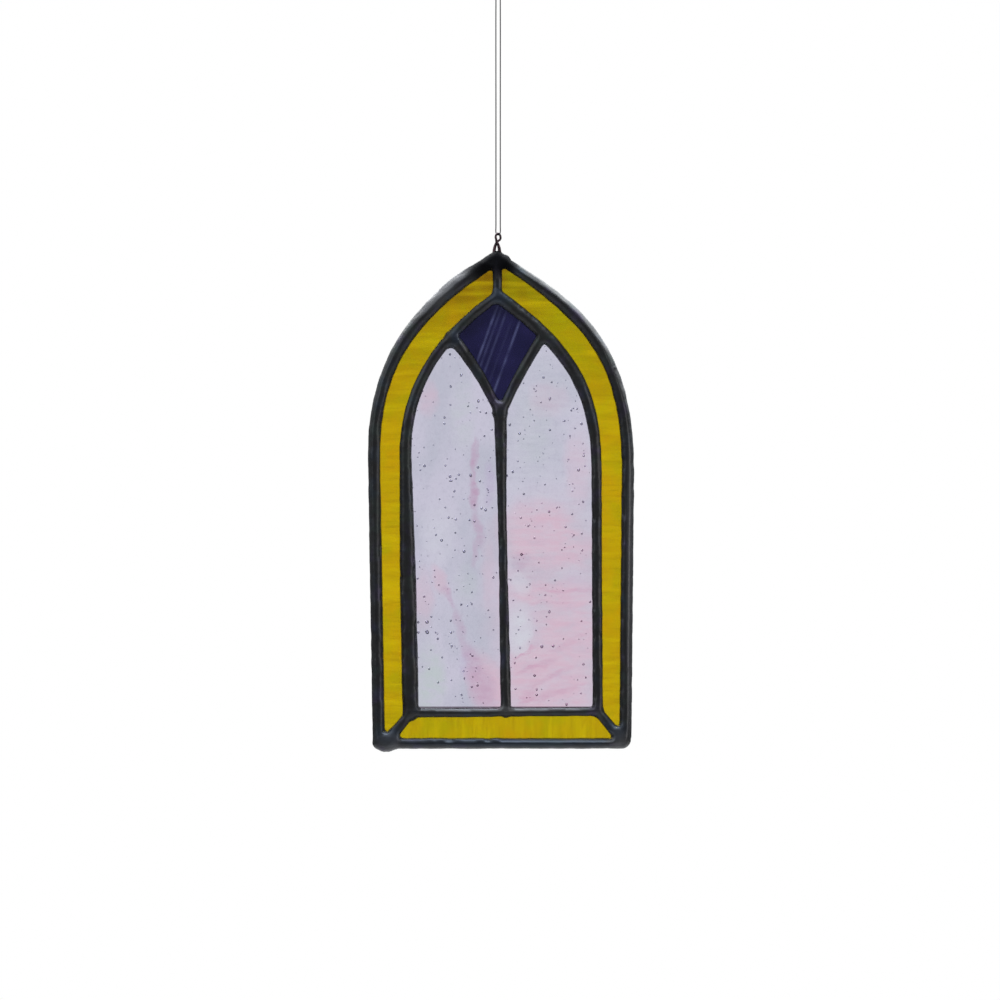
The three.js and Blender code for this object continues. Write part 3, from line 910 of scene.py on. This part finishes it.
def archSide(spring, top, rise, reach, pitch):
    run = top.x - spring.x
    slope = math.radians(pitch)
    above = spring + Vector((0, rise * (top.y - spring.y)))
    before = top - reach * abs(run) * Vector((math.copysign(math.cos(slope), run), math.sin(slope)))

    def place(t):
        s = 1 - t
        return spring * s**3 + above * (3 * s * s * t) + before * (3 * s * t * t) + top * t**3

    return place


def bowed(start, end, bow, share):
    # a line that bows to its right, most at a share of its length
    along = end - start
    turn = start + along * share + Vector((-along.y, along.x)).normalized() * -bow
    return lambda t: start * (1 - t) ** 2 + turn * (2 * t * (1 - t)) + end * t * t


def straight(start, end):
    return lambda t: start + (end - start) * t


def shareAt(curve, height):
    low, high = 0.0, 1.0
    for _ in range(30):
        middle = (low + high) / 2
        if curve(middle).y < height:
            low = middle
        else:
            high = middle
    return low


def widthAt(widths, share):
    place = share * (len(widths) - 1)
    before = min(int(place), max(len(widths) - 2, 0))
    after = min(before + 1, len(widths) - 1)
    return mix(widths[before], widths[after], place - before)


def seams():
    # each seam's way, those of the rim apart from the rest
    rims, inners = [], []
    for i, side in enumerate(("Left", "Right")):
        for made, name, top in ((rims, "rim", "peak"), (inners, "inner", "apex")):
            rise, reach, pitch = (net[name + part][i] for part in ("Rise", "Reach", "Pitch"))
            made.append(archSide(spot(name + "Spring" + side), spot(top), rise, reach, pitch))
    kites = []
    for i, arch in enumerate(inners):
        shoulder = arch(shareAt(arch, spot("apex").y - net["shoulderDrop"][i]))
        kites.append(bowed(shoulder, spot("mullionTop"), net["kiteBow"][i], net["kiteBowShare"][i]))
    footLeft, footRight = spot("rimFootLeft"), spot("rimFootRight")
    roundLeft, roundRight = net["cornerRound"]
    footStart, footEnd = footLeft + Vector((roundLeft, 0)), footRight - Vector((roundRight, 0))
    outer = {
        "rimArchLeft": rims[0],
        "rimArchRight": rims[1],
        "rimSideLeft": straight(footLeft + Vector((0, roundLeft)), spot("rimSpringLeft")),
        "rimSideRight": straight(footRight + Vector((0, roundRight)), spot("rimSpringRight")),
        "rimFoot": straight(footStart, footEnd),
    }
    inner = {
        "innerArchLeft": inners[0],
        "innerArchRight": inners[1],
        "innerSideLeft": straight(spot("innerFootLeft"), spot("innerSpringLeft")),
        "innerSideRight": straight(spot("innerFootRight"), spot("innerSpringRight")),
        "innerFoot": straight(spot("innerFootLeft"), spot("innerFootRight")),
        "mullion": straight(spot("mullionFoot"), spot("mullionTop")),
        "kiteLeft": kites[0],
        "kiteRight": kites[1],
        "peak": straight(spot("apex"), spot("peak")),
        "bulge": bowed(spot("bulgeFoot"), spot("bulgeTop"), net["bulgeBow"], 0.5),
        "mitreLeft": straight(spot("mitreFootLeft"), spot("innerFootLeft")),
        "mitreRight": straight(spot("mitreFootRight"), spot("innerFootRight")),
    }
    return outer, inner


class Plane:
    # a grid over the panel's plane, which keeps the least distance to what is laid on it

    def __init__(self, low, high, step):
        self.step = step
        self.low = np.array(low, dtype=float)
        self.size = [int((h - l) / step) + 1 for l, h in zip(low, high)]
        self.x = low[0] + step * np.arange(self.size[0])
        self.y = low[1] + step * np.arange(self.size[1])

    def empty(self, value):
        return np.full(self.size, value, dtype=float)

    def lay(self, field, place, radius, reach):
        # the distance to the edge of a disc, out to a reach beyond its middle
        columns, rows = (
            slice(max(int((place[k] - reach - self.low[k]) / self.step), 0),
                  int((place[k] + reach - self.low[k]) / self.step) + 2)
            for k in (0, 1)
        )
        away = np.hypot(self.x[columns, None] - place[0], self.y[None, rows] - place[1]) - radius
        np.minimum(field[columns, rows], away, out=field[columns, rows])


def solderOutline(plane, outer, inner):
    # the distance to the edge of the solder, below 0 inside it
    field = plane.empty(net["far"])
    for name, curve in {**outer, **inner}.items():
        steps = int((curve(1) - curve(0)).length * net["stepsPerMm"]) + 8
        for i in range(steps + 1):
            place = curve(i / steps)
            where = Vector((place.x, place.y, net["random"])) / net["edgeWobbleSize"]
            half = widthAt(net["widths"][name], i / steps) / 2 + noise.noise(where) * net["edgeWobble"]
            plane.lay(field, place, half, half + net["around"])
    for x, height, radius in net["lumps"]:
        plane.lay(field, (x, height), radius, radius + net["around"])
    return field


def distanceFrom(plane, outside, beyond, reach):
    # how far each place is from the nearest of the outside places, which lie beyond an edge
    field = plane.empty(reach)
    for i, j in zip(*np.nonzero(outside)):
        plane.lay(field, (plane.x[i], plane.y[j]), beyond[i, j], reach)
    return field


def fillCorners(plane, field, radius):
    # grown and then shrunk by the radius, the outline keeps no sharp inner corner
    edge = (field >= radius) & (field < radius + plane.step * net["edgeBand"])
    grown = radius - distanceFrom(plane, edge, field - radius, net["cornerReach"])
    return np.where(field < radius, grown, field)


def fadeFrom(plane, x, height, reach):
    # 1 at a place and 0 beyond its reach
    away = ((plane.x[:, None] - x) ** 2 + (plane.y[None, :] - height) ** 2) / reach**2
    return np.clip(1 - away, 0, 1) ** 2


def softened(values, rounds):
    # evens out what the grid left uneven
    for _ in range(rounds):
        for axis in (0, 1):
            values = values / 2 + (np.roll(values, 1, axis) + np.roll(values, -1, axis)) / 4
    return values


def noiseOver(plane, size, seed):
    values = plane.empty(0)
    for i, x in enumerate(plane.x):
        for j, height in enumerate(plane.y):
            values[i, j] = noise.noise(Vector((x / size, height / size, seed)))
    return values


def standing(inside, step):
    # the height that a liquid's skin takes over this outline, for a pull of 1
    skin = np.zeros(inside.shape)
    for _ in range(net["skinRounds"]):
        around = (
            np.roll(skin, 1, 0) + np.roll(skin, -1, 0) + np.roll(skin, 1, 1) + np.roll(skin, -1, 1)
        )
        skin = np.where(inside, (around + step * step) / 4, 0)
    return skin


def outsidePanel(plane, outer):
    # the places beyond the rim's own middle line
    ring = []
    shares = [i / 40 for i in range(41)]
    for name in ("rimSideLeft", "rimArchLeft"):
        ring += [outer[name](t) for t in shares]
    for name in ("rimArchRight", "rimSideRight"):
        ring += [outer[name](t) for t in reversed(shares)]
    across, up = plane.x[:, None], plane.y[None, :]
    inside = np.zeros(plane.size, dtype=bool)
    for a, b in zip(ring, ring[1:] + ring[:1]):
        if a.y != b.y:
            level = (a.y > up) != (b.y > up)
            inside ^= level & (across < (b.x - a.x) * (up - a.y) / (b.y - a.y) + a.x)
    return ~inside


def coversGlass(plane, places, nodes):
    # those of some places that lie over the glass of a pane, with the ones next to them
    over = np.zeros(plane.size, dtype=bool)
    for node in nodes:
        pane = bmesh.new()
        pane.from_mesh(frame["nodes"][node].data)
        tree = BVHTree.FromBMesh(pane)
        for i, j in zip(*np.nonzero(places & ~over)):
            hit = tree.ray_cast(at(plane.x[i], plane.y[j], -50), Vector((0, 1, 0)))
            over[i, j] = hit[0] is not None
        pane.free()
    for axis in (0, 1):
        over |= np.roll(over, 1, axis) | np.roll(over, -1, axis)
    return over


def poured(plane, field, half, edge):
    # a closed mesh as deep as half says, front and back, cut along the outline and edge deep there
    slopeX, slopeY = np.gradient(field, plane.step)
    inside = field < plane.step * 0.5
    cells = inside[:-1, :-1] & inside[1:, :-1] & inside[:-1, 1:] & inside[1:, 1:]
    used = np.zeros(plane.size, dtype=int)
    for di in (0, 1):
        for dj in (0, 1):
            used[di : plane.size[0] - 1 + di, dj : plane.size[1] - 1 + dj] += cells
    solid = bmesh.new()
    front, back = {}, {}
    for i, j in zip(*np.nonzero(used)):
        x, height, deep = plane.x[i], plane.y[j], half[i, j]
        if used[i, j] < 4:
            x -= slopeX[i, j] * field[i, j]
            height -= slopeY[i, j] * field[i, j]
            deep = edge[i, j]
        front[i, j] = solid.verts.new(at(x, height, -deep))
        back[i, j] = solid.verts.new(at(x, height, deep))
    for i, j in zip(*np.nonzero(cells)):
        ring = ((i, j), (i + 1, j), (i + 1, j + 1), (i, j + 1))
        solid.faces.new([front[k] for k in ring])
        solid.faces.new([back[k] for k in reversed(ring)])
        beside = ((0, -1), (1, 0), (0, 1), (-1, 0))
        for k, (di, dj) in enumerate(beside):
            if not cells[i + di, j + dj]:
                a, b = ring[k], ring[(k + 1) % 4]
                solid.faces.new((front[b], front[a], back[a], back[b]))
    mesh = bpy.data.meshes.new("solderNet")
    solid.to_mesh(mesh)
    solid.free()
    return mesh


def relax(mesh, rounds, strength=0.5, back=-0.52):
    # rounds off the steps of the grid without letting the beads shrink
    count = len(mesh.vertices)
    places = np.empty(count * 3)
    mesh.vertices.foreach_get("co", places)
    places = places.reshape(-1, 3)
    edges = np.empty(len(mesh.edges) * 2, dtype=int)
    mesh.edges.foreach_get("vertices", edges)
    edges = edges.reshape(-1, 2)
    valence = np.bincount(edges.ravel(), minlength=count)[:, None]
    for turn in range(rounds * 2):
        total = np.zeros_like(places)
        for axis in range(3):
            total[:, axis] += np.bincount(edges[:, 0], places[edges[:, 1], axis], count)
            total[:, axis] += np.bincount(edges[:, 1], places[edges[:, 0], axis], count)
        places += (total / valence - places) * (strength if turn % 2 == 0 else back)
    mesh.vertices.foreach_set("co", places.ravel())
    mesh.update()


def roughen(mesh, size, amount, seed):
    # the slow unevenness of solder run by hand
    normals = [v.normal.copy() for v in mesh.vertices]
    for vertex, normal in zip(mesh.vertices, normals):
        place = vertex.co / (size * mm) + Vector((seed, seed, seed))
        vertex.co += normal * (noise.noise(place) * amount * mm)
    mesh.update()


def netOutline(plane, outer, inner):
    # the outline with its inner corners filled, and filled more in some places
    drawn = solderOutline(plane, outer, inner)
    field = fillCorners(plane, drawn, net["fillet"])
    fuller = fillCorners(plane, drawn, net["roundFillet"])
    more = sum(fadeFrom(plane, *place) for place in net["rounds"])
    return softened(field + (fuller - field) * np.clip(more * 2, 0, 1), 2)


def rimRounding(plane, toOpen):
    # beyond the rim's middle its bead rolls round the edge of the panel
    slant, width = plane.empty(0), plane.empty(net["rimRound"])
    for x, height, reach, wide in net["slants"]:
        share = fadeFrom(plane, x, height, reach) ** 0.5
        slant = np.maximum(slant, share)
        width = mix(width, wide, share)
    flank = np.clip(toOpen / width, 0, 1)
    power = mix(net["roundPower"], net["slantPower"], slant)
    return (1 - (1 - flank) ** power) ** (1 / power)


def beadHeight(plane, field, toOpen):
    # the foil's flat edge shows here and there beside the bead
    even, uneven = net["foilShowsUneven"]
    shows = np.clip(even + uneven * noiseOver(plane, net["foilShowsSize"], net["random"]), 0, 1)
    covered = field + net["foilShows"] * shows * (toOpen > net["foilFromRim"]) < 0
    skin = standing(covered, plane.step) / (net["beadWidth"] ** 2 / 8)
    full = net["beadFullness"]
    bead = net["bead"] * (1 - np.exp(-full * skin ** net["beadPower"])) / (1 - math.exp(-full))
    bead = bead + net["foil"]
    for x, height, radius, rise in net["drops"]:
        bead += fadeFrom(plane, x, height, radius * net["dropSpread"]) * rise * (skin > 0)
    return bead


def solderNet():
    outer, inner = seams()
    plane = Plane(net["gridFrom"], net["gridTo"], net["grid"])
    field = netOutline(plane, outer, inner)
    atEdge = (field >= 0) & (field < plane.step * net["edgeBand"])
    openEdge = outsidePanel(plane, outer) & atEdge
    toOpen = softened(distanceFrom(plane, openEdge, field, net["openReach"]), 3)
    half = (net["glassFace"] + beadHeight(plane, field, toOpen)) * rimRounding(plane, toOpen)
    half = np.maximum(half, net["edgeHalf"])
    borders = ("glass_border_left", "glass_border_right", "glass_border_foot")
    over = coversGlass(plane, (field < 0) & (half < net["overGlass"]), borders)
    half = np.where(over, np.maximum(half, net["overGlass"]), half)
    edge = np.where(toOpen < plane.step * 2, net["edgeHalf"], net["glassFace"] + net["foil"])

    mesh = poured(plane, field, half, edge)
    relax(mesh, net["smoothing"])
    for size, amount, seed in net["wobbles"]:
        roughen(mesh, size, amount, seed)
    mesh.polygons.foreach_set("use_smooth", [True] * len(mesh.polygons))
    soldered = meshObject("solderNet", mesh)
    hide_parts("solder_net")
    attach(soldered, "root")
    print("solder has", len(mesh.polygons), "faces")
    return soldered


patina = {
    "black": (40, 40, 41),
    "green": (41, 48, 46),
    "purple": (50, 44, 62),
    "blue": (38, 48, 61),
    "smut": (18, 18, 20),
    "worn": (104, 106, 108),
    "rubbed": (76, 76, 78),
    # how much of each tint there is where it is strongest
    "share": {
        "green": 0.7,
        "purple": 0.7,
        "cloudBlue": 0.35,
        "worn": 0.5,
        "rubbed": 0.8,
        "blue": 0.5,
        "smut": 0.95,
    },
    # x, height, half width, half height and lean of each place: where flux burnt the peak
    # black beside the eye, where highlights are painted on flanks that face the light, and where blue
    # is laid on, partly the patina's own tint and partly a painted sheen of the bluish light from
    # above
    "burntPlaces": [(-5, 193.8, 7, 11, 60), (2.5, 194, 7, 7, 0), (-1, 197.5, 9, 6, 0)],
    # painted highlights on the flanks of the rim and seams that face the light
    "paintedHighlightPlaces": [
        (53.2, 60, 2.4, 90, 0),
        (-22, 183.2, 3.4, 18, 47),
        (2.5, 16.0, 44, 1.4, 0),
        (-14.4, 162.6, 1.3, 5, -30),
        (-43.5, 3.8, 5.5, 4.5, 0),
        (47.5, 5, 5, 4.5, 0),
    ],
    # blue on the foot, its corners and upward flanks: partly the patina's own tint, partly a painted
    # sheen of the bluish light from above
    "blueTintAndSheenPlaces": [
        (0, 3, 50, 2.6, 0),
        (-16, 165, 4, 4, 0),
        (0, 181, 7, 4, 0),
        (46, 8, 7, 6, 0),
        (-44, 6, 7, 6, 0),
    ],
}


def patinaFinish():
    black = Finish("patina")
    share = patina["share"]
    cloud = black.grain(6, detail=3, seed=1.0)
    greened = cloud.rises(0.5, 0.7) * share["green"]
    colour = greened.blend(tone(*patina["black"]), tone(*patina["green"]))
    for name, seed, strength in (("purple", 8.0, share["purple"]), ("blue", 21.0, share["cloudBlue"])):
        other = black.grain(8, detail=3, seed=seed)
        colour = (other.rises(0.52, 0.72) * strength).blend(colour, tone(*patina[name]))
    specks = black.grain(0.9, detail=3, seed=5.0, rough=0.7)
    colour = (specks.rises(0.64, 0.8) * share["worn"]).blend(colour, tone(*patina["worn"]))
    blue, rubbed, burnt = (
        most(black, patina[name]) for name in ("blueTintAndSheenPlaces", "paintedHighlightPlaces", "burntPlaces")
    )
    # painted highlights, blue that is partly painted sheen, and burnt black go over the patina
    for place, name in ((rubbed, "rubbed"), (blue, "blue"), (burnt, "smut")):
        colour = (place * share[name]).blend(colour, tone(*patina[name]))
    pits = black.grain(0.7, detail=3, seed=2.0, rough=0.6)
    dents = black.grain(3.2, detail=2, seed=6.0)
    return black.shade(
        base_color=colour,
        metallic=0.65 + burnt * 0.33,
        roughness=0.27 + cloud * 0.2 + burnt * 0.5,
        specular_ior_level=0.32,
        normal=black.bump(dents + pits * 0.25, 0.5, 0.25),
    )


dress(solderNet(), patinaFinish())
print("seams soldered")

# The wire eye: one leg rises out of the solder, goes round the ring and crosses in front

eye = {
    "wire": 0.86,
    "wireAtFoot": 1.65,
    "ring": 1.45,
    "ringHeight": 204.75,
    "middle": -0.5,
    # each point of a leg: its side, how far out it is, its height and its depth
    "leg": [
        (-1, 1.5, 195.4, 0.35),
        (-1, 1.12, 198.6, 0.4),
        (-1, 0.86, 200.6, 0.45),
        (-1, 0.42, 201.9, 0.5),
        (1, 0.1, 202.9, 0.5),
    ],
    "ringAngles": (-35, 0, 45, 90, 135, 180, 215),
    # dark tarnish, and pinkish copper that is partly the wire's own colour and partly a painted
    # highlight
    "tarnish": (30, 26, 29),
    "copper": (76, 56, 60),
}


def eyeRoute():
    there = [at(eye["middle"] + side * out, height, depth) for side, out, height, depth in eye["leg"]]
    back = [at(eye["middle"] - side * out, height, -depth) for side, out, height, depth in eye["leg"]]
    ring = []
    for degrees in eye["ringAngles"]:
        angle = math.radians(degrees)
        across = eye["ring"] * math.cos(angle)
        height = eye["ringHeight"] + eye["ring"] * math.sin(angle)
        ring.append(at(across * math.cos(lineTurn), height, across * math.sin(lineTurn)))
    return smoothRoute([*there, *ring, *reversed(back)], 8)


def wireFinish():
    copper = Finish("darkCopper")
    tarnish = copper.grain(1.1, detail=3, seed=4.0)
    # the pinkish copper patches are partly bare copper and partly a painted highlight
    colour = tarnish.rises(0.4, 0.65).blend(tone(*eye["tarnish"]), tone(*eye["copper"]))
    return copper.shade(
        base_color=colour,
        metallic=0.85,
        roughness=0.34 + tarnish * 0.2,
        normal=copper.bump(tarnish, 0.3, 0.04),
    )


def lineFinish():
    nylon = Finish("nylonLine")
    along = nylon.grain(1.5, detail=2, stretch=(1, 1, 4), seed=2.0)
    colour = along.blend(tone(*line["dark"]), tone(*line["pale"]))
    return nylon.shade(base_color=colour, roughness=0.3, ior=1.53)


hangerEye = tubeObject("hangerEye", eyeRoute(), eye["wire"], eye["wireAtFoot"])
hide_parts("hanger_eye")
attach(hangerEye, "root")
dress(hangerEye, wireFinish())
nylonLine = lineFinish()
dress(hangingLine, nylonLine)
dress(lineKnot, nylonLine)
print("eye bent and line finished")
